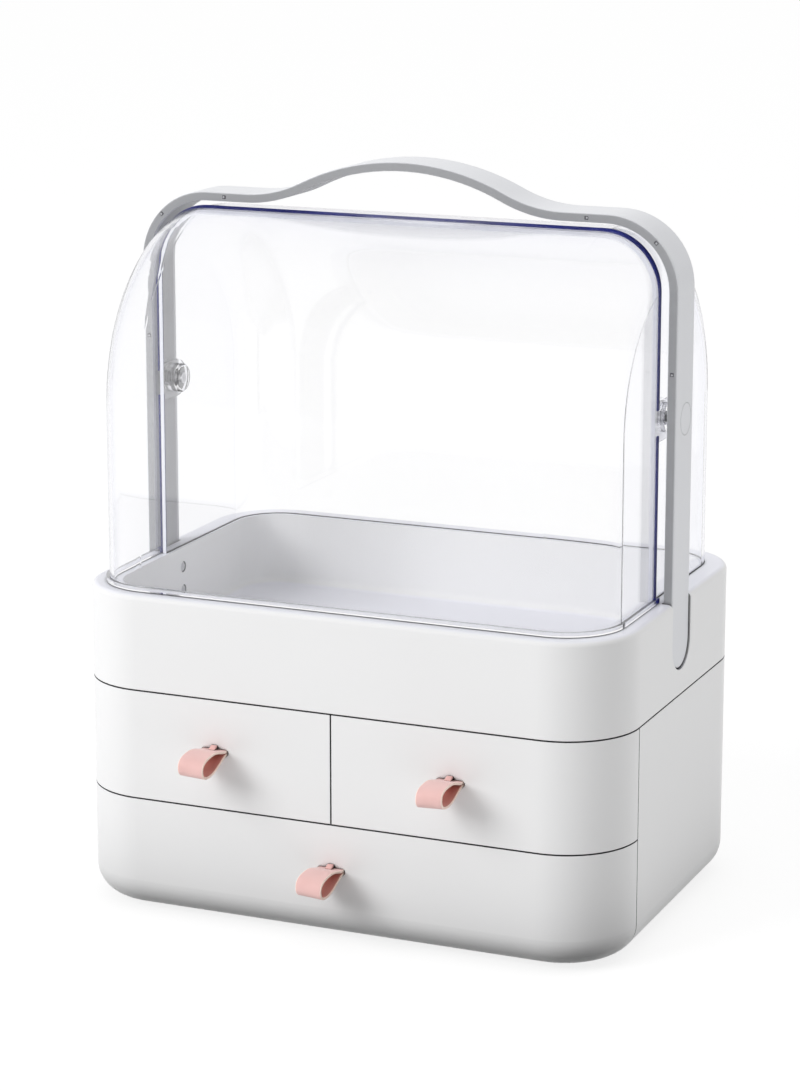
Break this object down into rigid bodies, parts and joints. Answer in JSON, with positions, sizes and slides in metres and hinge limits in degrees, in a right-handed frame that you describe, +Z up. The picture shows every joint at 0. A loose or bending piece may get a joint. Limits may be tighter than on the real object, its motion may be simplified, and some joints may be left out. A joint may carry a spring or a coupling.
{
  "type": "makeup organizer",
  "caption": "Free-standing cosmetics organizer: a white drawer cabinet with strap pulls, a deep tray and a clear dust cover whose front half swings up below a fixed handle.",
  "frame": {"origin": "on the surface that the organizer stands on, below the middle of the cabinet's outline (the pull tabs left out)", "axes": "+Z up, -Y towards the drawer fronts, +X to the right of someone facing the drawers"},
  "size_m": [0.3, 0.2394, 0.3882],
  "materials": {
    "white_plastic": "smooth, satin gloss",
    "drawer_plastic": "smooth, satin gloss",
    "handle_plastic": "smooth, satin",
    "clear_plastic": "polished, clear",
    "pink_strap": "soft, low sheen",
    "pink_keeper": "satin",
    "steel": "zinc plated",
    "rubber": "matt"
  },
  "bodies": {
    "base": {"cabinet_shell": "white_plastic", "mid_shelf": "white_plastic", "centre_divider": "white_plastic", "cabinet_deck": "white_plastic", "tray": "white_plastic", "handle_outer": "handle_plastic", "handle_liner": "handle_plastic", "pivot_cap_left": "handle_plastic", "pivot_cap_right": "handle_plastic", "rear_cover": "clear_plastic", "pivot_button_left": "clear_plastic", "pivot_button_right": "clear_plastic", "tray_screws": "steel", "handle_screws": "steel", "pivot_pin_left": "steel", "pivot_pin_right": "steel", "rubber_feet": "rubber"},
    "front_cover_body": {"front_cover": "clear_plastic"},
    "drawer_left": {"drawer_front_upper_left": "white_plastic", "drawer_box_upper_left": "drawer_plastic", "front_screws_upper_left": "steel", "pull_tab_upper_left": "pink_strap", "tab_keeper_upper_left": "pink_keeper"},
    "drawer_right": {"drawer_front_upper_right": "white_plastic", "drawer_box_upper_right": "drawer_plastic", "front_screws_upper_right": "steel", "pull_tab_upper_right": "pink_strap", "tab_keeper_upper_right": "pink_keeper"},
    "drawer_lower": {"drawer_front_lower": "white_plastic", "drawer_box_lower": "drawer_plastic", "front_screws_lower": "steel", "pull_tab_lower": "pink_strap", "tab_keeper_lower": "pink_keeper"}
  },
  "joints": [
    {"name": "front_cover_swing", "type": "hinge", "parent": "base", "child": "front_cover_body", "pos_m": [0, 0, 0.264], "axis": [-1, 0, 0], "range_deg": [0, 90]},
    {"name": "upper_left_drawer_slide", "type": "slide", "parent": "base", "child": "drawer_left", "axis": [0, -1, 0], "range_m": [0, 0.14]},
    {"name": "upper_right_drawer_slide", "type": "slide", "parent": "base", "child": "drawer_right", "axis": [0, -1, 0], "range_m": [0, 0.14]},
    {"name": "lower_drawer_slide", "type": "slide", "parent": "base", "child": "drawer_lower", "axis": [0, -1, 0], "range_m": [0, 0.14]}
  ]
}
